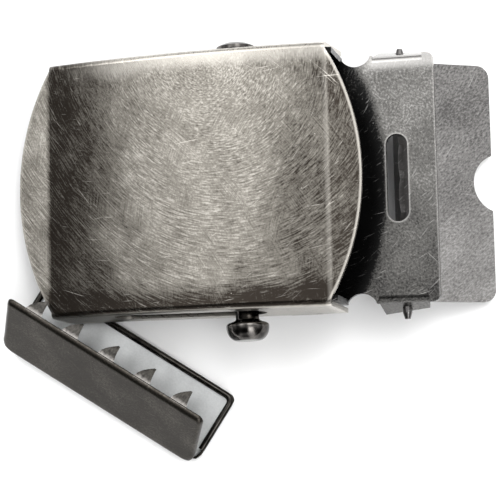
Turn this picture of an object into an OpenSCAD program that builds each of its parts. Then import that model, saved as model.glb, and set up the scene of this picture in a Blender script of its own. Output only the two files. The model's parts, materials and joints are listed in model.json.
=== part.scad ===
// Roller buckle for a narrow web belt, with its loose belt tip.
// All lengths are millimetres. Each piece is drawn in the buckle's own frame, where X runs along
// the web, Y across it, and Z = 0 is the back of the frame plate. as_laid() then lays the buckle
// on the table: its entry end rests on the rim of the belt tip, its open clamp flap props the rest.

/* [Frame] */
// Width of the frame across the web
frame_w = 35.2; // [33:0.1:40]
// Sheet thickness of the frame and of the clamp flap
frame_t = 0.8; // [0.6:0.05:1]
// Length of the covered channel, from crease to crease of the face plate
channel_len = 41.1; // [36:0.1:48]
// Length of the open clamp plate beyond the channel
clamp_len = 13.85; // [13:0.05:18]
// Radius of the round relief between the channel wall and the ear
relief_r = 2.3; // [1.8:0.1:2.6]
// How deep the relief bites into the edge of the plate
relief_bite = 1.5; // [1:0.1:2]
// Width of the oval web hole in the clamp plate
hole_w = 3.05; // [2.5:0.05:3.6]
// Length of the oval web hole, across the web
hole_len = 12.4; // [10:0.1:18]

/* [Face plate] */
// Sheet thickness of the face plate
face_t = 0.65; // [0.5:0.05:0.8]
// Height of the left crease above the back of the frame, where the web goes in
height_in = 6.15; // [5.9:0.05:7]
// Height of the right crease above the back of the frame, where the web comes out
height_out = 9.3; // [8.5:0.05:11]
// Rise of the curved panel between the two creases
bulge = 1.73; // [1.4:0.01:2.5]
// Length of each round-ended wing beyond its crease
wing_len = 4.8; // [3:0.1:7]
// Downward slope of the wings, in degrees
wing_slope = 2.4; // [0:0.1:6]
// Outer radius of the bends along the top and bottom edges
bend_r = 0.85; // [0.8:0.05:1.2]
// Outward lean of the side flanges, in degrees
flange_lean = 2.4; // [0:0.1:3]

/* [Roller] */
// Diameter of the pin that slides in the slots
pin_d = 3.25; // [2.6:0.05:3.4]
// Diameter of the roller sleeve that pinches the web
sleeve_d = 4.8; // [4.4:0.1:5.2]
// Height of the pin's axis above the back of the frame
pin_z = 4.55; // [4.5:0.05:4.8]
// Place of the pin along the web when the buckle is open
pin_x = 7.7; // [5:0.1:10]
// Travel of the pin towards the web entry
pin_travel = 15.5; // [12:0.5:17]
// Diameter of the thumb knob
knob_d = 6; // [5:0.1:7.2]
// Length of the thumb knob
knob_len = 2.95; // [2.5:0.05:4]
// How far askew the pin stands in its slots at rest, in degrees
pin_skew = 1.35; // [0:0.05:1.5]

/* [Clamp flap] */
// Width of the flap across the web
flap_w = 34.3; // [32:0.1:39]
// Reach of the flap from its pivot to its free end
flap_reach = 14.2; // [12:0.1:18]
// Angle at which the flap stands open, in degrees
flap_open = 32; // [20:1:45]
// Diameter of the pivot stubs
stub_d = 1.3; // [1:0.05:1.5]
// Radius of the thumb notch in the free end
notch_r = 4.2; // [3.5:0.1:5]
// Depth of the thumb notch
notch_depth = 2.9; // [2:0.1:3.6]

/* [Belt tip] */
// Length of the tip across the web
tip_len = 32.65; // [31:0.05:40]
// Width of each of its two panels, from the centre of the fold to the mouth
tip_w = 10.5; // [9:0.05:14]
// Sheet thickness of the tip
tip_t = 0.45; // [0.35:0.05:0.6]
// Outer radius of the fold
fold_r = 1; // [0.8:0.05:1.4]
// Angle between the two panels, in degrees
mouth_angle = 55; // [35:0.5:80]
// Height of the turned-in rim along the sides and the mouth
tip_rim = 0.85; // [0.7:0.05:1.3]
// Length of the teeth beyond the rim
tooth_len = 1.8; // [1:0.1:2.5]
// How far each tooth's point leans along the mouth
tooth_lean = 0.5; // [0:0.1:1]
// Width of each tooth at its root
tooth_w = 2.5; // [1.5:0.1:3]
// Number of teeth on the mouth
teeth = 5; // [3:1:7]

/* [Hidden] */
$fn = 64;

steel = "#8d8a85";
dark_steel = "#4b4947";
past = 20;             // how far a cutting solid reaches past what it cuts
seat = 0.05;           // slip between the frame's walls and the flanges round them
run = 0.06;            // radial running clearance of pins and pivots
side_play = 0.2;       // room beside a piece that turns or slides between two walls

// frame plate and channel
half_w = frame_w / 2;
x_in = -channel_len / 2;
x_out = channel_len / 2;
x_end = x_out + clamp_len;
bend_in = 0.3;         // inner radius of the frame's own bends
relief_x = x_out + 2.75;
relief_y = half_w - relief_bite + relief_r;
wall_end = relief_x - relief_r + 0.3;
ear_gap = 0.1;         // from the relief to the ear beside it
ear_x = relief_x + relief_r + ear_gap;
ear_len = 7.1;
ear_end = ear_x + ear_len;
ear_flare = 18.5;      // outward lean of the ears, in degrees
ear_deep = 4.05;        // slant height of the ear at its tall end
ear_low = 2.15;        // slant height of the ear at its low end
corner_r = 1.1;
hole_x = x_end - 5.55;

// face plate
half_face = half_w + seat + face_t;
wedge = atan((height_out - height_in) / channel_len);
panel_z = (height_in + height_out) / 2;
panel_r = (pow(channel_len / 2, 2) + pow(bulge, 2)) / (2 * bulge);
wing_w = 2 * (half_face - bend_r);
wing_r = (pow(wing_w / 2, 2) + pow(wing_len, 2)) / (2 * wing_len);
tab_len = 4.5;         // crimp tabs, folded under the frame plate
tab_reach = 2;
tab_in = 3;            // from the end of the flange to the first tab
tab_slip = 0.05;

// slots, pin and sleeve
slot_h = pin_d + 2 * run;
slot_x0 = pin_x - pin_travel - frame_w * tan(pin_skew);
window_clear = 0.6;    // room round the pin in the flange's window
window_h = pin_d + 2 * window_clear;
flange_y = half_face + (height_out - bend_r) * tan(flange_lean);
knob_gap = 0.8;        // from the flange to the underside of the knob
knob_y = flange_y + knob_gap;
cap_d = 5.4;
cap_len = 1.25;
cap_gap = 0.15;
cap_y = flange_y + cap_gap;
neck_d = 2.6;          // reduced end of the pin that the cap is pressed on
sleeve_len = frame_w - 2 * frame_t - 2 * side_play;

// clamp flap: pivot, plate offset below the pivot, and toothed lip above it
pivot_x = hole_x + 0.45;
pivot_z = -1.9;
plate_drop = 0.73;
lip_out = 1.1;         // from the pivot to the outer side of the lip
lip_rise = 1.3;        // from the pivot to the points of the lip
lip_wave = 0.5;        // depth of the hollows between the points
lip_points = 7;
flap_bend = 0.9;       // outer radius of the bend into the lip
lug_r = 1.15;
lug_y = half_w - frame_t;
flap_corner = 1.8;
stub_len = 2.9;        // on the knob's side; the other stub is shorter
stub_short = 2;
stub_point = 0.9;      // length of the stub's tapered end

// belt tip, and where it lies
tip_x = -15.26;
tip_y = -29.83;
tip_turn = -33;
panel_shift = 1.1;     // the upper panel is folded this far out of line with the lower one
fold_corner = 2.4;     // corner radii, seen square on
mouth_corner = 1.3;
fold_in = 0.45;         // from the end of a panel to the end of the fold
tooth_pitch = 6.05;

// how the buckle lies: the entry end on the tip's rim, the flap's free end on the table
rest_lift = tip_rim + 0.5;
prop_x = pivot_x + flap_reach * cos(flap_open) - (plate_drop + frame_t) * sin(flap_open) - x_in;
prop_z = pivot_z - flap_reach * sin(flap_open) - (plate_drop + frame_t) * cos(flap_open);
prop_angle = asin(-rest_lift / norm([prop_x, prop_z])) - atan2(prop_z, prop_x);
origin_x = 5.876;       // middle of the footprint, seen from the middle of the channel
origin_y = -9.257;

module as_laid() {
    translate([x_in - origin_x, -origin_y, rest_lift])
        rotate([0, -prop_angle, 0]) translate([-x_in, 0, 0]) children();
}

// A cylinder along Y, centred on y = 0
module across(d, len) {
    rotate([90, 0, 0]) cylinder(d = d, h = len, center = true);
}

// A slot cutter along X, through both sides of the buckle
module side_slot(x0, x1, z, height) {
    for (x = [x0, x1]) translate([x, 0, z]) across(height, 2 * (half_w + past));
    translate([x0, -half_w - past, z - height / 2])
        cube([x1 - x0, 2 * (half_w + past), height]);
}

// The face's own frame: Z = 0 through the two creases, X = 0 halfway between them
module on_face() {
    translate([0, 0, panel_z]) rotate([0, -wedge, 0]) children();
}

// The solid under the curved panel, less a skin of the given depth
module under_panel(skin) {
    on_face() translate([0, 0, bulge - panel_r])
        rotate([90, 0, 0]) cylinder(r = panel_r - skin, h = 2 * (half_w + past), center = true, $fn = 256);
}

// ---- frame: one sheet, walls bent forward along the channel, ears bent back beside the clamp

module plate_outline() {
    difference() {
        union() {
            translate([x_in, -half_w]) square([x_end - corner_r - x_in, frame_w]);
            translate([x_in, -half_w + corner_r]) square([x_end - x_in, frame_w - 2 * corner_r]);
            for (s = [-1, 1]) translate([x_end - corner_r, s * (half_w - corner_r)]) circle(corner_r);
        }
        for (s = [-1, 1]) translate([relief_x, s * relief_y]) circle(relief_r);
        for (s = [-1, 1]) translate([hole_x, s * (hole_len - hole_w) / 2]) circle(d = hole_w);
        translate([hole_x, 0]) square([hole_w, hole_len - hole_w], center = true);
        for (s = [-1, 1]) translate([ear_x, s * (half_w + past / 2 - bend_in - frame_t)])
            translate([0, -past / 2]) square([ear_len, past]);
    }
}

module channel_walls() {
    intersection() {
        for (s = [-1, 1]) translate([x_in, s * (half_w - frame_t / 2) - frame_t / 2, 0])
            cube([wall_end - x_in, frame_t, height_out + bulge]);
        under_panel(bend_r + seat);
    }
}

// Section of one ear in the YZ plane: a bend, then the leaning ear itself
module ear(side) {
    mirror([0, side < 0 ? 1 : 0, 0])
        translate([0, half_w - bend_in - frame_t, -bend_in]) {
            translate([ear_x, 0, 0]) rotate([90, 0, 90]) linear_extrude(ear_len) difference() {
                circle(bend_in + frame_t);
                circle(bend_in);
                rotate(ear_flare) translate([-past, -2 * past]) square([2 * past, 2 * past]);
                translate([-past, -past]) square([past, 2 * past]);
            }
            rotate([ear_flare, 0, 0]) translate([ear_x, bend_in, 0]) rotate([-90, 0, 0])
                linear_extrude(frame_t)
                    polygon([[0, -0.02], [ear_len, -0.02], [ear_len - 0.3, ear_low], [0.3, ear_deep]]);
        }
}

module frame() {
    color(steel) as_laid() difference() {
        union() {
            linear_extrude(frame_t) plate_outline();
            channel_walls();
            for (s = [-1, 1]) ear(s);
        }
        side_slot(slot_x0, pin_x, pin_z, slot_h);
        translate([pivot_x, 0, pivot_z]) across(stub_d + 2 * run, 2 * (half_w + past));
    }
}

// ---- face plate: curved panel, flat wings, side flanges with a window and crimp tabs

// Half of the panel's section: radius along X, the web's width along Y
module panel_section() {
    translate([panel_r - face_t, -0.01]) square([face_t, half_face - bend_r + 0.02]);
    translate([panel_r - bend_r, half_face - bend_r]) {
        difference() {
            circle(bend_r);
            circle(bend_r - face_t);
            translate([-past, -2 * past]) square([2 * past, 2 * past]);
            rotate(-flange_lean) translate([-2 * past, -past]) square([2 * past, 2 * past]);
        }
        rotate(-flange_lean) translate([-past, bend_r - face_t]) square([past + 0.01, face_t]);
    }
}

module wing() {
    translate([channel_len / 2, 0, 0]) rotate([0, wing_slope, 0]) translate([0, 0, -face_t])
        linear_extrude(face_t) intersection() {
            translate([wing_len - wing_r, 0]) circle(wing_r, $fn = 128);
            translate([-0.3, -wing_w / 2]) square([wing_len + 1, wing_w]);
        }
}

// A tab bent round the free edge of one flange and under the frame plate
module crimp_tab(x, side) {
    edge_y = half_face + (height_in + (x - x_in) * tan(wedge)) * tan(flange_lean);
    mirror([0, side < 0 ? 1 : 0, 0]) {
        translate([x, edge_y - face_t, -tab_slip - face_t]) cube([tab_len, face_t, face_t + 0.4]);
        translate([x, edge_y - face_t - tab_reach, -tab_slip - face_t])
            cube([tab_len, face_t + tab_reach, face_t]);
    }
}

module face_plate() {
    color(steel) as_laid() {
        difference() {
            on_face() {
                intersection() {
                    translate([0, 0, bulge - panel_r]) rotate([90, 0, 0])
                        rotate_extrude(angle = 30, start = 75, $fn = 256) {
                            panel_section();
                            mirror([0, 1]) panel_section();
                        }
                    translate([-channel_len / 2, -half_w - past, -past])
                        cube([channel_len, 2 * (half_w + past), 2 * past]);
                }
                wing();
                mirror([1, 0, 0]) wing();
            }
            translate([-2 * past, -2 * past, -past]) cube([4 * past, 4 * past, past]);
            side_slot(slot_x0 - window_clear, pin_x + window_clear, pin_z, window_h);
        }
        for (s = [-1, 1]) {
            crimp_tab(x_in + tab_in, s);
            crimp_tab(x_out - tab_in - tab_len, s);
        }
    }
}

// ---- slide pin: turned pin with a domed thumb knob, its far end reduced for the cap

// The pin's own frame: it stands a little askew, its knob end at the end of the slot
module at_pin() {
    translate([pin_x - half_w * tan(pin_skew), 0, pin_z]) rotate([0, 0, pin_skew]) children();
}

module slide_pin() {
    rise = 0.7;        // length of the knob's cone
    band = 1.05;       // length of the knob's straight side
    dome = knob_len - rise - band;
    color(dark_steel) as_laid() at_pin() rotate([90, 0, 0]) {
        translate([0, 0, -cap_y]) cylinder(d = pin_d, h = cap_y + knob_y + 0.2);
        translate([0, 0, -cap_y - cap_len + 0.35]) cylinder(d = neck_d, h = cap_len);
        rotate_extrude() translate([0, knob_y]) {
            polygon([[0, 0], [pin_d / 2, 0], [knob_d / 2, rise], [knob_d / 2, rise + band],
                     [0, rise + band]]);
            translate([0, rise + band - 0.01]) square([knob_d / 2 - dome, dome + 0.01]);
            translate([knob_d / 2 - dome, rise + band]) intersection() {
                circle(dome);
                translate([-0.01, -0.01]) square([knob_d, knob_d]);
            }
        }
    }
}

// ---- cap: small domed cap pressed on the pin's far end

module pin_cap() {
    dome_r = (pow(cap_d / 2, 2) + pow(cap_len * 0.6, 2)) / (2 * cap_len * 0.6);
    rim = cap_len * 0.4;
    color(dark_steel) as_laid() at_pin() translate([0, cap_y, 0]) rotate([-90, 0, 0]) difference() {
        rotate_extrude() {
            square([cap_d / 2, rim]);
            intersection() {
                translate([0, cap_len - dome_r]) circle(dome_r, $fn = 128);
                translate([0, rim - 0.01]) square([cap_d / 2, cap_len]);
            }
        }
        translate([0, 0, -1]) cylinder(d = neck_d, h = 1 + cap_len - 0.35);
    }
}

// ---- roller sleeve: tube that turns on the pin and pinches the web against the face plate

module roller_sleeve() {
    color(steel) as_laid() at_pin() difference() {
        across(sleeve_d, sleeve_len);
        across(pin_d + 2 * run, sleeve_len + 2);
    }
}

// ---- clamp flap: plate below the pivot, wavy lip turned up to the oval hole, lugs with stubs

module flap_outline() {
    difference() {
        union() {
            translate([-lip_out + flap_bend, -lug_y])
                square([lip_out - flap_bend + 2, 2 * lug_y]);
            translate([1.6, -flap_w / 2]) square([flap_reach - 1.6 - flap_corner, flap_w]);
            translate([flap_reach - flap_corner - 1, -flap_w / 2 + flap_corner])
                square([flap_corner + 1, flap_w - 2 * flap_corner]);
            for (s = [-1, 1])
                translate([flap_reach - flap_corner, s * (flap_w / 2 - flap_corner)]) circle(flap_corner);
        }
        translate([flap_reach + notch_r - notch_depth, 0]) circle(notch_r);
    }
}

module lip_profile() {
    wave = 2 * lug_y / lip_points;
    low = lip_rise - lip_wave;
    floor_v = -plate_drop - frame_t + flap_bend;
    difference() {
        translate([-lug_y, floor_v]) square([2 * lug_y, lip_rise - floor_v]);
        for (i = [0 : lip_points])
            translate([-lug_y + i * wave, low]) polygon([[-wave / 2, lip_wave + 0.01], [-wave / 4, 0.1],
                [0, 0], [wave / 4, 0.1], [wave / 2, lip_wave + 0.01]]);
    }
}

module flap_body() {
    floor_v = -plate_drop - frame_t;
    translate([0, 0, floor_v]) linear_extrude(frame_t) flap_outline();
    translate([-lip_out, 0, 0]) rotate([90, 0, 90]) linear_extrude(frame_t) lip_profile();
    translate([-lip_out + flap_bend, lug_y, floor_v + flap_bend]) rotate([90, 0, 0])
        linear_extrude(2 * lug_y) difference() {
            circle(flap_bend);
            circle(flap_bend - frame_t);
            translate([0, -past]) square([past, 2 * past]);
            translate([-past, 0]) square([2 * past, past]);
        }
    for (s = [-1, 1]) mirror([0, s < 0 ? 1 : 0, 0]) {
        translate([0, lug_y, 0]) rotate([90, 0, 0]) linear_extrude(frame_t) {
            circle(lug_r);
            translate([-lug_r, floor_v + 0.3]) square([2 * lug_r, -floor_v - 0.3]);
        }
        translate([0, lug_y - frame_t, 0]) rotate([-90, 0, 0]) {
            straight = frame_t + (s < 0 ? stub_len : stub_short) - stub_point;
            cylinder(d = stub_d, h = straight);
            translate([0, 0, straight]) cylinder(d1 = stub_d, d2 = stub_d * 0.6, h = stub_point);
        }
    }
}

module clamp_flap() {
    color(steel) as_laid() translate([pivot_x, 0, pivot_z]) rotate([0, flap_open, 0]) flap_body();
}

// ---- belt tip: a folded sheet, each panel a shallow tray; teeth turned in along one mouth

// Outline of a panel: fold to the back at Y = -fold_r, mouth at Y = tip_w, less the given margin
module panel_outline(margin) {
    hl = tip_len / 2 - margin;
    top = tip_w - margin;
    low = -fold_r + margin;
    fc = fold_corner - margin;
    mc = mouth_corner - margin;
    translate([-hl, low + fc]) square([2 * hl, top - low - fc - mc]);
    translate([-hl + fc, low]) square([2 * (hl - fc), fc + 0.01]);
    translate([-hl + mc, top - mc - 0.01]) square([2 * (hl - mc), mc + 0.01]);
    for (s = [-1, 1]) translate([s * (hl - fc), low + fc]) circle(fc);
    for (s = [-1, 1]) translate([s * (hl - mc), top - mc]) circle(mc);
}

// One panel: outer side at Z = 0, rim turned up to tip_rim, cut off at the fold
module tip_panel() {
    intersection() {
        union() {
            linear_extrude(tip_t) panel_outline(0);
            linear_extrude(tip_rim) difference() {
                panel_outline(0);
                panel_outline(tip_t);
            }
        }
        translate([-tip_len, 0, -1]) cube([2 * tip_len, tip_w + 1, past]);
    }
}

// The fold between the panels, its ends rounded
module fold() {
    end_r = 1.5;
    hl = tip_len / 2 - fold_in - panel_shift / 2;
    translate([-panel_shift / 2, 0, 0]) intersection() {
        rotate([90, 0, 90]) linear_extrude(2 * hl, center = true) difference() {
            circle(fold_r);
            circle(fold_r - tip_t);
            translate([0, -past]) square([past, past]);
            rotate(mouth_angle) square([past, past]);
            rotate(mouth_angle / 2 - 45) square([past, past]);
        }
        rotate([mouth_angle / 2, 0, 0]) linear_extrude(4 * fold_r, center = true) {
            translate([-hl + end_r, -2 * fold_r]) square([2 * (hl - end_r), 4 * fold_r]);
            translate([-hl, end_r - fold_r]) square([2 * hl, 2 * fold_r]);
            for (s = [-1, 1]) translate([s * (hl - end_r), end_r - fold_r]) circle(end_r);
        }
    }
}

module tip_teeth() {
    for (i = [0 : teeth - 1])
        translate([(i - (teeth - 1) / 2) * tooth_pitch, tip_w, tip_rim - 0.02]) rotate([90, 0, 0])
            linear_extrude(tip_t) polygon([[-tooth_w / 2, 0], [tooth_w / 2, 0],
                [tooth_lean + 0.15, tooth_len], [tooth_lean - 0.15, tooth_len]]);
}

module belt_tip() {
    color(steel) translate([tip_x - origin_x, tip_y - origin_y, fold_r]) rotate([0, 0, tip_turn]) {
        translate([0, 0, -fold_r]) tip_panel();
        rotate([mouth_angle, 0, 0]) mirror([0, 0, 1]) translate([-panel_shift, 0, -fold_r]) {
            tip_panel();
            tip_teeth();
        }
        fold();
    }
}

frame();
face_plate();
slide_pin();
pin_cap();
roller_sleeve();
clamp_flap();
belt_tip();
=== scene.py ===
import json
import math

import bpy
import numpy as np
from mathutils import Matrix, Vector


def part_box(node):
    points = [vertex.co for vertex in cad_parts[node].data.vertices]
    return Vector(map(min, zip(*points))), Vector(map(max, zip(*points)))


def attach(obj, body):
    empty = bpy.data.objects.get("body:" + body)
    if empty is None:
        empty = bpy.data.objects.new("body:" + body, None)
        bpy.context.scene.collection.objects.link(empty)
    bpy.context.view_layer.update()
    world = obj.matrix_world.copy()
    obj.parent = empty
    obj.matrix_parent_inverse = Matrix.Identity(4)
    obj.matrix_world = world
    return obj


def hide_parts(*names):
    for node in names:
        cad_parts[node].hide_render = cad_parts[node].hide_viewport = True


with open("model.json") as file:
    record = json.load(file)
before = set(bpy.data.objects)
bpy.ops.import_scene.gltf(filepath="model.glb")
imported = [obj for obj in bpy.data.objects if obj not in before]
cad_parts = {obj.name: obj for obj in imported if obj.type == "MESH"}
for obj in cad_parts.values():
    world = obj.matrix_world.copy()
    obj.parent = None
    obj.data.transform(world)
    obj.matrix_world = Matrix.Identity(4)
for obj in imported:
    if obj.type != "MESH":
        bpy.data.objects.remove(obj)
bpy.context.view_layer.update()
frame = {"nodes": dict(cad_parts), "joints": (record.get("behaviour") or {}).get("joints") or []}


# ---- Camera -------------------------------------------------------------------------------
# A long lens almost straight above the table, a little towards the knob's side of the buckle.


def put(name, data):
    """A new object with that data, in the scene."""
    thing = bpy.data.objects.new(name, data)
    bpy.context.scene.collection.objects.link(thing)
    return thing


camera = put("camera", bpy.data.cameras.new("camera"))
bpy.context.scene.camera = camera
camera.data.sensor_width = 36
camera.data.lens = 137.3
camera.data.clip_start = 0.01
to_camera = Vector((0.0765, -0.1151, 0.9904)).normalized()
picture_right = Vector((0.9966, -0.0218, -0.0795)).normalized()
picture_up = to_camera.cross(picture_right).normalized()
camera_turn = Matrix((picture_right, picture_up, to_camera)).transposed().to_4x4()
camera.matrix_world = Matrix.Translation((0.02183, -0.03112, 0.27451)) @ camera_turn


# ---- Face plate ---------------------------------------------------------------------------
# Pressed steel, 0.65 mm: a curved panel with folded flanges. Its satin brushing is worn to
# arc-like scratches in every direction, and the metal is tarnished brown towards both ends, with
# painted shade there and along the lower bend, and painted highlights on the wings' ends, the top
# bend and the lower flange.


class Wire:
    """A number on a socket. Arithmetic on it adds the Math nodes for it."""

    def __init__(self, tree, socket):
        self.tree, self.socket = tree, socket

    def math(self, operation, *values):
        """One Math node on those values."""
        node = self.tree.nodes.new("ShaderNodeMath")
        node.operation = operation
        for slot, value in zip(node.inputs, values):
            if isinstance(value, Wire):
                self.tree.links.new(value.socket, slot)
            else:
                slot.default_value = value
        return Wire(self.tree, node.outputs[0])

    def __add__(self, other):
        return self.math("ADD", self, other)

    def __radd__(self, other):
        return self.math("ADD", other, self)

    def __sub__(self, other):
        return self.math("SUBTRACT", self, other)

    def __rsub__(self, other):
        return self.math("SUBTRACT", other, self)

    def __mul__(self, other):
        return self.math("MULTIPLY", self, other)

    def __rmul__(self, other):
        return self.math("MULTIPLY", other, self)

    def __truediv__(self, other):
        return self.math("DIVIDE", self, other)

    def __pow__(self, other):
        return self.math("POWER", self, other)

    def __abs__(self):
        return self.math("ABSOLUTE", self)

    def at_least(self, other):
        return self.math("MAXIMUM", self, other)

    def at_most(self, other):
        return self.math("MINIMUM", self, other)


class Nodes:
    """A tree of nodes, of a finish or of the sky."""

    def __init__(self, tree):
        self.tree = tree

    def node(self, kind, settings=None, **sockets):
        """A node of that kind: its settings first, then the values or links of its sockets."""
        node = self.tree.nodes.new(kind)
        for key, value in (settings or {}).items():
            if key == "stops":
                stops = node.color_ramp.elements
                stops.remove(stops[1])
                stops[0].position, stops[0].color = value[0][0], (*value[0][1], 1)
                for position, colour in value[1:]:
                    stops.new(position).color = (*colour, 1)
            else:
                setattr(node, key, value)
        for key, value in sockets.items():
            slot = self.socket(node.inputs, key)
            if isinstance(value, Wire):
                self.tree.links.new(value.socket, slot)
            elif isinstance(value, bpy.types.NodeSocket):
                self.tree.links.new(value, slot)
            else:
                slot.default_value = value
        return node

    def socket(self, sockets, key):
        live = [s for s in sockets if s.enabled and s.name.replace(" ", "_") == key]
        return live[0]

    def wire(self, node, key):
        return Wire(self.tree, self.socket(node.outputs, key))

    def number(self, kind, output, settings=None, **sockets):
        return self.wire(self.node(kind, settings, **sockets), output)

    def ramp(self, value, *stops):
        """The colour at that value, between (position, colour) stops."""
        return self.node("ShaderNodeValToRGB", {"stops": stops}, Fac=value).outputs[0]


class Finish(Nodes):
    """A metal finish: a Principled material, measured in millimetres of the piece itself."""

    def __init__(self, name):
        self.material = bpy.data.materials.new(name)
        self.material.use_nodes = True
        super().__init__(self.material.node_tree)
        self.shader = self.tree.nodes["Principled BSDF"]
        place = self.node("ShaderNodeTexCoord")
        spread = self.node("ShaderNodeSeparateXYZ", Vector=place.outputs["Object"])
        self.x, self.y, self.z = (self.wire(spread, axis) * 1000 for axis in "XYZ")

    def noise(self, x, y, z=0.0, detail=2.0, roughness=0.5):
        place = self.node("ShaderNodeCombineXYZ", X=x, Y=y, Z=z)
        made = self.node("ShaderNodeTexNoise", Vector=place.outputs[0], Scale=1.0,
                         Detail=detail, Roughness=roughness)
        return self.wire(made, "Factor" if "Factor" in made.outputs else "Fac")

    def step(self, value, low, high, out_low=0.0, out_high=1.0):
        """value, mapped from low..high to out_low..out_high with soft ends."""
        return self.number("ShaderNodeMapRange", "Result", {"interpolation_type": "SMOOTHSTEP"},
                           Value=value, From_Min=low, From_Max=high,
                           To_Min=out_low, To_Max=out_high)

    def arcs(self, cx, cy, width, length, seed):
        """Streaks along circles round (cx, cy): that wide and roughly that long, in mm."""
        dx, dy = self.x - cx, self.y - cy
        radius = (dx * dx + dy * dy) ** 0.5
        around = dy.math("ARCTAN2", dy, dx) * (math.hypot(cx, cy) + 10)
        return self.noise(radius / width, around / length, seed, 1.0)

    def strokes(self, angle, width, length, seed):
        """Straight streaks in one direction."""
        c, s = math.cos(math.radians(angle)), math.sin(math.radians(angle))
        along, across = self.x * c + self.y * s, self.y * c - self.x * s
        sway = self.noise(self.x / 9, self.y / 9, seed, 0.0) * 3
        return self.noise((across + sway) / width, along / length, seed, 1.0)

    def mix(self, amount, under, over):
        """The colour from a ramp, with a plain colour over it by that amount."""
        made = self.node("ShaderNodeMix", {"data_type": "RGBA"}, Factor=amount,
                         A=under, B=(*over, 1))
        return [s for s in made.outputs if s.type == "RGBA"][0]

    def finish(self, colour, roughness, height, depth):
        """The finished metal; its relief is that height (0 to 1) times the depth in mm."""
        bump = self.node("ShaderNodeBump", Height=height, Strength=1.0, Distance=depth / 1000)
        self.tree.links.new(colour, self.shader.inputs["Base Color"])
        self.tree.links.new(roughness.socket, self.shader.inputs["Roughness"])
        self.tree.links.new(bump.outputs[0], self.shader.inputs["Normal"])
        self.shader.inputs["Metallic"].default_value = 1.0
        return self.material


def worn_steel(name, dark, mid, light, darkening=None, painted_highlights=None, seed=0.0, grain=1.0,
               brushed=1.0, rough=0.36):
    """Worn satin steel: blotches, short curved scratches, a few long bright ones, specks.

    darkening darkens it by place, partly as painted shade; painted_highlights paints highlights
    on it by place. brushed is how much of the pattern is scratches in arcs rather than fine grain.
    """
    steel = Finish(name)
    # the painted shade and painted highlights of the piece enter its colour here
    darkened = darkening(steel) if darkening else 0.0
    painted_highlight = painted_highlights(steel) if painted_highlights else 0.0
    # the pattern climbs the walls too, instead of drawing out into upright lines
    steel.x, steel.y = steel.x + steel.z * 0.4, steel.y + steel.z
    x, y = steel.x, steel.y
    blotch = steel.noise(x / 6, y / 7, seed, 4.0, 0.62)
    fine = steel.noise(x / 0.32, y / 0.32, seed, 3.0, 0.7)
    patch = steel.step(steel.noise(x / 7, y / 7, seed + 9, 2.0), 0.3, 0.68)
    from_left = steel.arcs(-29, -10, 0.2, 6, seed + 2)
    from_right = steel.arcs(43, 10, 0.18, 5, seed + 3)
    other = from_left * patch + from_right * (1 - patch)
    sweep = steel.step(steel.noise(x / 5, y / 5, seed + 11, 2.0), 0.2, 0.62)
    arcs = steel.arcs(1, 43, 0.2, 4, seed + 1) * sweep + other * (1 - sweep)
    scuffs = steel.step(steel.arcs(1, 50, 0.26, 4, seed + 4), 0.66, 0.78)
    scuffs = scuffs + steel.step(steel.arcs(-25, 56, 0.24, 5, seed + 14), 0.68, 0.8)
    scratches = steel.step(steel.strokes(-32, 0.28, 9, seed + 5), 0.73, 0.8)
    scratches = scratches + steel.step(steel.strokes(12, 0.26, 8, seed + 6), 0.73, 0.8)
    specks = steel.step(steel.noise(x / 0.5, y / 0.5, seed + 7, 1.0), 0.74, 0.84)
    grainy = (arcs - 0.5) * 0.9 * brushed + (fine - 0.5) * (1.3 - 0.7 * brushed)
    tone = (blotch - 0.5) * 0.55 + grainy * grain + 0.5 - darkened
    marks = (scuffs * 0.35 + scratches * 0.6 + specks * 0.6) * min(grain * 1.1, 1.0)
    # painted highlights are laid over the marks, towards the light colour
    marks = (marks + painted_highlight).at_most(1.0)
    colour = steel.mix(marks, steel.ramp(tone, (0.1, dark), (0.5, mid), (0.9, light)), light)
    roughness = rough + (blotch - 0.5) * 0.12 + (arcs - 0.5) * 0.2 * brushed - marks * 0.08
    relief = arcs * 0.8 * brushed + fine * 0.5 + marks * 0.3
    return steel.finish(colour, roughness, relief, 0.0055 * grain)


def cover(node, material):
    """Gives one CAD piece its finish."""
    piece = frame["nodes"][node]
    piece.data.materials.clear()
    piece.data.materials.append(material)


# How the buckle lies, in degrees and mm: it leans about its entry end, which rests on the tip.
lean = math.radians(8.709)
middle_x, middle_y = -5.876, 9.257
entry_x, entry_z = -20.55, 1.35


def along_channel(steel):
    """Distance along and across the channel from its middle, undoing the buckle's lean."""
    forward, up = steel.x - middle_x - entry_x, steel.z - entry_z
    return forward * math.cos(lean) + up * math.sin(lean) + entry_x, steel.y - middle_y


# Lines on the face in mm from the channel's middle: the creases, the bend to the lower flange,
# and the wings' round edges, each an arc about a centre on the other side of the middle.
crease_x = 20.5
lower_bend_y = -17.95
wing_centre, wing_radius = 8.75, 33.6


def from_arc(x, y, centre):
    """Distance from a centre on the channel's own line."""
    dx = x - centre
    return (dx * dx + y * y) ** 0.5


def face_tarnish_and_painted_shade(steel):
    """Brown tarnish near both ends of the panel, deepened there as painted shade, painted shade
    along its lower bend and a slight darkening on the right wing, in uneven fronts; less of it on
    the flange.
    """
    x, y = along_channel(steel)
    wander = (steel.noise(steel.x / 5, steel.y / 6, 3.1, 3.0) - 0.5) * 9
    # tarnish near both ends, deepened as painted shade for the dark reflections there
    left = steel.step(x + wander, -5.0, -19.0, 0.0, 0.38) * steel.step(x, -21.2, -20.3)
    right = steel.step(x + wander - y * 0.2, 7.0, 20.0, 0.0, 0.22)
    wing = steel.step(x, 20.4, 21.2, 0.0, 0.1)
    # painted shade along the lower bend
    bend = steel.step(y + wander * 0.08, -13.6, -17.4, 0.0, 0.42)
    most = 0.46
    on_flange = steel.step(y, -18.3, lower_bend_y, 0.25, 1.0)
    return (left + right + wing + bend).at_most(most) * on_flange


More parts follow.
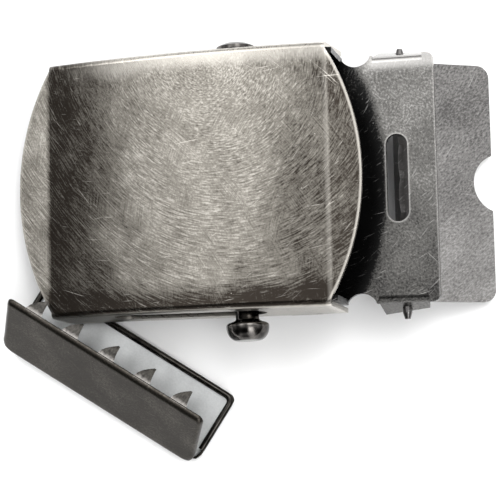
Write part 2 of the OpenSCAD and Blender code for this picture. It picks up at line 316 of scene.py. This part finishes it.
def face_painted_highlights(steel):
    """Painted highlights: the wings' rounded ends catching light, the top bend and the lower flange
    as if reflecting the bright surroundings, and the crease lines a little lighter.
    """
    x, y = along_channel(steel)
    # painted highlight along the wings' rounded ends
    right = steel.step(from_arc(x, y, -wing_centre), wing_radius, wing_radius + 0.25)
    right = right * steel.step(x, 19, 21)
    left = steel.step(from_arc(x, y, wing_centre), wing_radius, wing_radius + 0.3)
    left = left * steel.step(x, -19, -21)
    crease = steel.step(abs(x - crease_x), 0.55, 0.1)
    wander = (steel.noise(steel.x / 4, steel.y / 9, 5.3, 2.0) - 0.5) * 3
    # painted highlight of the top bend reflecting the bright surroundings
    painted_highlight = steel.step(y + wander, 14.9, 17.4) * steel.step(x, -19, -8)
    # painted reflection of the bright table on the lower flange
    flange = steel.step(y, lower_bend_y, lower_bend_y - 0.3)
    return right * 0.55 + left * 0.3 + crease * 0.16 + painted_highlight * 0.55 + flange * 0.4


cover("face_plate", worn_steel("brushed face steel", (0.036, 0.03, 0.025),
                               (0.225, 0.211, 0.186), (0.62, 0.59, 0.54), face_tarnish_and_painted_shade, face_painted_highlights,
                               rough=0.33))


# ---- Frame --------------------------------------------------------------------------------
# One sheet, 0.8 mm, bent up into the channel walls and back into the ears. It is plated and
# smoother than the face, with painted shade where the face plate's wing hangs over it and painted
# highlights along the upper ear's bend and its edges.


def frame_painted_shade_and_darkening(steel):
    """Painted shade beside the wing, where it hangs over the plate, and on the lower wall inside
    the face plate's window; and a slight darkening downwards.
    """
    x, y = along_channel(steel)
    # painted shade beside the overhanging wing, and on the lower wall seen through the window
    wing_shade = steel.step(from_arc(x, y, -wing_centre), 36.9, 35.0, 0.0, 0.5)
    wall_shade = steel.step(y, -17.2, -17.5) * steel.step(x, 22.0, 20.5) * 0.45
    return wing_shade + wall_shade + steel.step(y, 13.0, -15.0, 0.0, 0.17)


hole_x, hole_straight, hole_r = 28.85, 9.35, 1.6
end_x = 34.35


def frame_painted_highlights(steel):
    """Painted highlights along the bend of the upper ear, the end edge and the hole's edge."""
    x, y = along_channel(steel)
    ear = steel.step(y, 15.0, 16.4) * steel.step(x, 24.0, 26.0)
    end = steel.step(x, end_x - 0.25, end_x)
    dx, dy = x - hole_x, (abs(y) - hole_straight / 2).at_least(0.0)
    hole = steel.step((dx * dx + dy * dy) ** 0.5, hole_r + 0.25, hole_r)
    return ear * 0.8 + end * 0.35 + hole * 0.4


cover("frame", worn_steel("plated frame steel", (0.012, 0.012, 0.012), (0.15, 0.146, 0.139),
                          (0.50, 0.49, 0.475), frame_painted_shade_and_darkening, frame_painted_highlights, seed=20.0, grain=0.9,
                          brushed=0.2, rough=0.28))


# ---- Clamp flap ---------------------------------------------------------------------------
# The same plated sheet as the frame, a shade lighter: it spends its life turned away from wear.
# The stamped lettering of the real piece is left out.


def flap_darkening(steel):
    """Darker upwards, and darker where the frame's end covers the flap."""
    under_frame = steel.step(steel.x, 26.5, 25.0, 0.0, 0.35)
    return steel.step(steel.y, -10.0, 22.0, 0.0, 0.24) + under_frame


cover("clamp_flap", worn_steel("plated flap steel", (0.1, 0.097, 0.095), (0.295, 0.287, 0.28),
                               (0.54, 0.53, 0.52), flap_darkening, seed=40.0, grain=1.2,
                               brushed=0.3, rough=0.34))


# ---- Roller sleeve ------------------------------------------------------------------------
# A length of plain drawn tube that turns on the pin; polished round and round by the web.

sleeve = Finish("drawn tube steel")
rings = sleeve.noise(sleeve.y / 0.25, sleeve.x / 9, sleeve.z / 9, 2.0)
ringed = sleeve.ramp(rings, (0.3, (0.22, 0.21, 0.20)), (0.7, (0.5, 0.49, 0.47)))
cover("roller_sleeve", sleeve.finish(ringed, rings * 0.2 + 0.25, rings, 0.006))


# ---- Slide pin ----------------------------------------------------------------------------
# A turned pin with a thumb knob: coned neck, straight band, domed end with a small flat.
# Blackened and polished by fingers, so nearly black with small sharp highlights.


def dark_metal(name, seed, lowest=(0.03, 0.028, 0.027), worn=(0.17, 0.16, 0.15)):
    """Blackened metal, polished by handling and with small nicks."""
    metal = Finish(name)
    wear = metal.noise(metal.x / 1.5, metal.y / 1.8, metal.z / 1.5 + seed, 3.0, 0.6)
    nicks = metal.noise(metal.x / 0.4, metal.y / 0.5, metal.z / 0.4 + seed, 1.0)
    nick = metal.step(nicks, 0.68, 0.8)
    colour = metal.ramp(wear + nick * 0.25, (0.35, lowest), (0.75, worn))
    return metal.finish(colour, wear * 0.2 + 0.08 + nick * 0.15, wear + nick * 0.4, 0.004)


def mesh_piece(name, verts, faces):
    """A new piece with that mesh."""
    mesh = bpy.data.meshes.new(name)
    mesh.from_pydata(verts, [], faces)
    return put(name, mesh)


def turned(name, profile, origin, axis, segments=72):
    """A solid of revolution from (distance along, radius) pairs; its ends meet the axis."""
    verts, faces = [], []
    for along, radius in profile:
        if radius < 1e-9:
            verts.append((0, 0, along))
            continue
        for k in range(segments):
            a = 2 * math.pi * k / segments
            verts.append((radius * math.cos(a), radius * math.sin(a), along))
    first, last = 0, len(verts) - 1
    rows = len(profile) - 2
    for k in range(segments):
        n = (k + 1) % segments
        faces.append((first, 1 + n, 1 + k))
        faces.append((last, last - segments + k, last - segments + n))
        for row in range(rows - 1):
            a = 1 + row * segments
            faces.append((a + k, a + n, a + segments + n, a + segments + k))
    piece = mesh_piece(name, verts, faces)
    turn = Vector(axis).to_track_quat("Z", "Y").to_matrix().to_4x4()
    piece.matrix_world = Matrix.Translation(origin) @ turn
    return piece


def shade(piece, degrees):
    """Edges sharper than that shade sharp, all others smooth."""
    piece.data.shade_smooth()
    piece.data.set_sharp_from_angle(angle=math.radians(degrees))


MM = 0.001
spin = next(j for j in frame["joints"] if j["name"] == "roller_spin")
pin_middle, pin_way = Vector(spin["pos_m"]), Vector(spin["axis"]).normalized()
pin_low, pin_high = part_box("slide_pin")
shaft_r = 1.625 * MM
knob_r = 3.0 * MM
flat_r = 1.5 * MM
dome_h = 1.95 * MM
neck_r = 1.3 * MM
dome_steps = 14
end_low = (pin_low.y - pin_middle.y) / pin_way.y + 0.07 * MM
end_high = (pin_high.y - pin_middle.y) / pin_way.y - 0.02 * MM
knob_profile = [(end_low, 0), (end_low, flat_r)]
for k in range(1, dome_steps + 1):
    a = math.pi / 2 * k / dome_steps
    knob_profile.append((end_low + dome_h * (1 - math.cos(a)),
                         flat_r + (knob_r - flat_r) * math.sin(a)))
for along, radius in [(2.15, knob_r), (2.32, knob_r - 0.08 * MM), (2.5, knob_r - 0.35 * MM),
                      (2.68, shaft_r + 0.45 * MM), (2.85, shaft_r + 0.1 * MM), (3.05, shaft_r)]:
    knob_profile.append((end_low + along * MM, radius))
shaft_profile = [(end_high - 1.3 * MM, shaft_r), (end_high - 1.25 * MM, neck_r),
                 (end_high - 0.05 * MM, neck_r), (end_high, neck_r - 0.1 * MM), (end_high, 0)]
pin = turned("slide_pin_turned", knob_profile + shaft_profile, pin_middle, pin_way)
shade(pin, 40)
pin.data.materials.append(dark_metal("blackened knob steel", 0.0))
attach(pin, "pin")
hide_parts("slide_pin")


# ---- Pin cap ------------------------------------------------------------------------------
# A small domed cap pressed on the pin's far end so that it can't pull out of the slots.

cover("pin_cap", dark_metal("dark cap steel", 7.0))


# ---- Belt tip -----------------------------------------------------------------------------
# A thin plated blank folded to a V over the web's end. All its free edges are rolled inwards,
# and five claws, punched from the mouth of the upper panel, bite the web. Dark outside, where
# it has tarnished, and bright inside.

tip_len = 32.65 * MM
tip_w = 10.55 * MM
sheet_t = 0.4 * MM
fold_r = 1.0 * MM
mouth_angle = math.radians(55)
roll_r = 0.72 * MM
fold_corner = 2.4 * MM
mouth_corner = 0.9 * MM
lean_fold, lean_mouth = -0.55 * MM, -1.5 * MM  # sideways, of the upper panel
tip_turn = math.radians(-33)


def rolled(distance, height):
    """How far the sheet has turned inwards at that distance from its edge."""
    near = np.clip(distance, 0, roll_r)
    return height / roll_r * (roll_r - np.sqrt(roll_r**2 - (roll_r - near) ** 2))


def panel_reach(v):
    """Half the panel's length at distance v from the centre of the fold."""
    half = np.full_like(v, tip_len / 2)
    near_fold = np.clip(fold_corner - (v + fold_r), 0, fold_corner)
    near_mouth = np.clip(mouth_corner - (tip_w - v), 0, mouth_corner)
    half -= fold_corner - np.sqrt(fold_corner**2 - near_fold**2)
    half -= mouth_corner - np.sqrt(np.maximum(mouth_corner**2 - near_mouth**2, 0))
    return half


def blank_grid():
    """The folded blank's outer surface, as a grid of points in the tip's own frame."""
    fine = roll_r * (1 - np.cos(np.linspace(0, math.pi / 2, 10)))
    side = tip_len / 2
    s = np.concatenate([-side + fine, np.linspace(-side + roll_r, side - roll_r, 66)[1:-1],
                        side - fine[::-1]])
    v = np.concatenate([np.linspace(0, tip_w - roll_r, 26)[:-1], tip_w - fine[::-1]])
    rows = []
    fold_turn = math.pi - mouth_angle
    rows += [("low", v_row, 0) for v_row in v[::-1]]
    rows += [("fold", 0.0, a) for a in np.linspace(0, fold_turn, 14)[1:-1]]
    rows += [("high", v_row, fold_turn) for v_row in v]
    grid = np.zeros((len(rows), len(s), 3))
    for i, (where, v_row, turn) in enumerate(rows):
        depth = v_row
        if where == "fold":
            depth = -fold_r * math.sin(turn * math.pi / fold_turn * 0.98)
        reach = float(panel_reach(np.array([depth]))[0])
        u = s * reach / side
        edge = np.minimum(reach - np.abs(u), (tip_w - v_row) if where != "fold" else 1.0)
        corner_u = np.maximum(np.abs(u) - (tip_len / 2 - mouth_corner), 0)
        corner_v = max(v_row - (tip_w - mouth_corner), 0)
        if where != "fold" and corner_v > 0:
            edge = np.where(corner_u > 0, mouth_corner - np.hypot(corner_u, corner_v), edge)
        fade = 0.35 if where == "fold" else 0.35 + 0.65 * min(v_row / (2.5 * MM), 1)
        lift = rolled(np.maximum(edge, 0), (0.95 if where == "low" else 0.75) * MM) * fade
        if where == "low":
            grid[i] = np.stack([u, np.full_like(u, v_row), -fold_r + lift], 1)
        else:
            # outward direction, turning from straight down at the lower panel over the fold
            out_y, out_z = -math.sin(turn), -math.cos(turn)
            run_y, run_z = math.cos(mouth_angle), math.sin(mouth_angle)
            w = fold_r - lift
            aside = lean_fold * turn / fold_turn + (lean_mouth - lean_fold) * v_row / tip_w
            grid[i] = np.stack([u + aside, out_y * w + run_y * v_row, out_z * w + run_z * v_row], 1)
    return grid


def sheet_piece(name, grid, thickness):
    """A grid of points, given the sheet's thickness inwards."""
    rows, cols = grid.shape[:2]
    faces = [(r * cols + c, r * cols + c + 1, (r + 1) * cols + c + 1, (r + 1) * cols + c)
             for r in range(rows - 1) for c in range(cols - 1)]
    piece = mesh_piece(name, grid.reshape(-1, 3).tolist(), faces)
    solid = piece.modifiers.new("sheet", "SOLIDIFY")
    solid.thickness = thickness
    solid.offset = -1
    solid.use_even_offset = False
    solid.material_offset = 1
    solid.material_offset_rim = 0
    return piece


def add_claw(verts, faces, centre):
    """One claw: a leaning, slightly hooked point with the sheet's thickness."""
    width, length, lean_aside, point = 2.7 * MM, 2.7 * MM, 0.6 * MM, 0.14 * MM
    root, claw_t, steps = 0.55 * MM, 0.36 * MM, 8
    left, right = [], []
    for k in range(steps + 1):
        t = k / steps
        hook = math.sin(math.pi * t)
        left.append((-width / 2 + (width / 2 + lean_aside - point) * t - 0.42 * MM * hook, t))
        right.append((width / 2 - (width / 2 - lean_aside - point) * t - 0.1 * MM * hook, t))
    start = len(verts)
    for back in (0, 1):
        for u, t in left + right:
            v = tip_w - 0.02 * MM - back * claw_t + 0.1 * MM * t
            w = fold_r - root - (length + 0.2 * MM) * t
            y = -math.sin(math.pi - mouth_angle) * w + math.cos(mouth_angle) * v
            z = -math.cos(math.pi - mouth_angle) * w + math.sin(mouth_angle) * v
            verts.append((centre + u + lean_mouth, y, z))

    def at(back, side_no, k):
        return start + (back * 2 + side_no) * (steps + 1) + k

    for k in range(steps):
        n = k + 1
        faces.append((at(0, 0, k), at(0, 0, n), at(0, 1, n), at(0, 1, k)))
        faces.append((at(1, 0, k), at(1, 1, k), at(1, 1, n), at(1, 0, n)))
        faces.append((at(0, 0, k), at(1, 0, k), at(1, 0, n), at(0, 0, n)))
        faces.append((at(0, 1, k), at(0, 1, n), at(1, 1, n), at(1, 1, k)))
    faces.append((at(0, 0, 0), at(0, 1, 0), at(1, 1, 0), at(1, 0, 0)))
    faces.append((at(0, 0, steps), at(1, 0, steps), at(1, 1, steps), at(0, 1, steps)))


outside = worn_steel("tarnished tip steel", (0.01, 0.009, 0.008), (0.031, 0.028, 0.024),
                     (0.12, 0.11, 0.098), seed=60.0, grain=0.6, brushed=0.15, rough=0.34)
inside = worn_steel("bright tip steel", (0.3, 0.3, 0.3), (0.52, 0.53, 0.53), (0.74, 0.75, 0.75),
                    seed=70.0, grain=0.25, brushed=0.0, rough=0.3)
tip_at = Vector((-21.137 * MM, -20.574 * MM, fold_r))
tip_frame = Matrix.Translation(tip_at) @ Matrix.Rotation(tip_turn, 4, "Z")
tip = sheet_piece("belt_tip_folded", blank_grid(), sheet_t)
tip.matrix_world = tip_frame
tip.data.materials.append(outside)
tip.data.materials.append(inside)
shade(tip, 60)
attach(tip, "tip")
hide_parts("belt_tip")


def bead(name, path, radius, sides=20):
    """A rod bent along a path in a level plane, with closed ends."""
    verts, faces = [], []
    count = len(path)
    for i, point in enumerate(path):
        ahead = (path[min(i + 1, count - 1)] - path[max(i - 1, 0)]).normalized()
        aside = ahead.cross(Vector((0, 0, 1)))
        for k in range(sides):
            a = 2 * math.pi * k / sides
            verts.append(point + radius * (math.cos(a) * aside + math.sin(a) * Vector((0, 0, 1))))
    for i in range(count - 1):
        for k in range(sides):
            n = (k + 1) % sides
            faces.append((i * sides + k, i * sides + n, (i + 1) * sides + n, (i + 1) * sides + k))
    faces.append(tuple(range(sides)))
    faces.append(tuple((count - 1) * sides + k for k in reversed(range(sides))))
    return mesh_piece(name, verts, faces)


bead_r, bead_in = 0.48 * MM, 0.44 * MM
bend, bend_steps = 1.0 * MM, 8
start_v = 1.6 * MM
edge_u, edge_v, edge_z = tip_len / 2 - bead_in, tip_w - bead_in, roll_r - fold_r
rim_path = [Vector((-edge_u, start_v, edge_z))]
for side in (-1, 1):
    for k in range(bend_steps + 1):
        a = math.pi / 2 * (k if side < 0 else bend_steps - k) / bend_steps
        rim_path.append(Vector((side * (edge_u - bend + bend * math.cos(a)),
                                edge_v - bend + bend * math.sin(a), edge_z)))
rim_path.append(Vector((edge_u, start_v, edge_z)))
hem = bead("belt_tip_hem", rim_path, bead_r)
hem.matrix_world = tip_frame
shade(hem, 50)
hem.data.materials.append(dark_metal("dark hem steel", 21.0, (0.012, 0.011, 0.01),
                                     (0.06, 0.056, 0.05)))
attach(hem, "tip")

claw_verts, claw_faces = [], []
claw_pitch = 6.05 * MM
for i in range(-2, 3):
    add_claw(claw_verts, claw_faces, i * claw_pitch)
claws = mesh_piece("belt_tip_claws", claw_verts, claw_faces)
claws.matrix_world = tip_frame
shade(claws, 50)
bite = Finish("claw steel")
streak = bite.noise(bite.x / 0.3, bite.y / 0.5, bite.z / 1.2, 2.0)
# painted highlight along the claws' roots, where the rolled mouth catches light
root = bite.step(bite.z + (streak - 0.5) * 0.3, 8.35, 8.85)
dull = bite.ramp(streak, (0.3, (0.02, 0.019, 0.018)), (0.75, (0.07, 0.066, 0.06)))
highlighted_claws = bite.mix(root, dull, (0.2, 0.19, 0.18))
claws.data.materials.append(bite.finish(highlighted_claws, 0.3 - root * 0.1, streak, 0.004))
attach(claws, "tip")


# ---- Table and light ----------------------------------------------------------------------
# A plain white table under a soft studio sky of bright and dark bands, which dims towards the
# horizon, and one large soft lamp to the left.

bpy.ops.mesh.primitive_plane_add(size=6, location=(0, 0, -0.0002))
table = bpy.context.object
table.name = "table"
paint = bpy.data.materials.new("white table")
paint.use_nodes = True
for socket, value in (("Base Color", (0.9, 0.9, 0.9, 1)), ("Roughness", 0.9),
                      ("Specular IOR Level", 0.1)):
    paint.node_tree.nodes["Principled BSDF"].inputs[socket].default_value = value
table.data.materials.append(paint)

sky = bpy.data.worlds.new("studio")
bpy.context.scene.world = sky
sky.use_nodes = True
studio = Nodes(sky.node_tree)
look = studio.node("ShaderNodeTexCoord")
way = studio.node("ShaderNodeSeparateXYZ", Vector=look.outputs["Generated"])


def bands(axis, *stops):
    """Brightness against one component of the direction, from -1 to 1."""
    top = max(level for _, level in stops)
    greys = [((place + 1) / 2, (level / top,) * 3) for place, level in stops]
    return Wire(studio.tree, studio.ramp((studio.wire(way, axis) + 1) * 0.5, *greys)) * top


across = bands(
    "X", (-1.0, 2.2), (-0.9, 1.4), (-0.83, 0.1), (-0.72, 0.1), (-0.64, 0.42), (-0.56, 1.3),
    (-0.47, 1.85), (-0.38, 1.45), (-0.28, 0.85), (-0.15, 0.55), (-0.02, 0.6), (0.12, 2.6),
    (0.38, 2.6), (0.52, 0.9), (0.75, 0.88), (0.88, 1.8), (1.0, 2.6))
along = bands(
    "Y", (-1.0, 3.2), (-0.86, 2.6), (-0.72, 0.4), (-0.6, 0.05), (-0.3, 0.06), (-0.05, 0.35),
    (0.06, 0.8), (0.16, 1.1), (0.26, 1.6), (0.42, 3.0), (0.7, 2.6), (1.0, 1.6))
fill = bands("X", (-1.0, 0.0), (0.08, 0.0), (0.2, 1.0), (0.5, 1.0), (0.6, 0.0), (1.0, 0.0))
fill = fill * bands(
    "Y", (-1.0, 0.0), (-0.9, 0.0), (-0.75, 5.0), (-0.2, 5.0), (-0.05, 0.0), (1.0, 0.0))
height = bands("Z", (-1.0, 0.2), (0.0, 0.25), (0.3, 0.32), (0.5, 0.7), (0.72, 1.0), (1.0, 1.0))
background = sky.node_tree.nodes["Background"]
background.inputs["Color"].default_value = (1, 1, 1, 1)
strength = (across * along + fill) * height
studio.tree.links.new(strength.socket, background.inputs["Strength"])

lamp_data = bpy.data.lights.new("softbox", "AREA")
lamp_data.shape = "RECTANGLE"
lamp_data.size, lamp_data.size_y = 0.25, 0.6
lamp_data.energy = 0.3
lamp = put("softbox", lamp_data)
lamp.location = (-0.36, 0.1, 0.6)
lamp.rotation_euler = (-lamp.location).to_track_quat("-Z", "Y").to_euler()

scene = bpy.context.scene
scene.view_settings.view_transform = "Standard"
scene.view_settings.look = "None"
scene.view_settings.exposure = 0.0
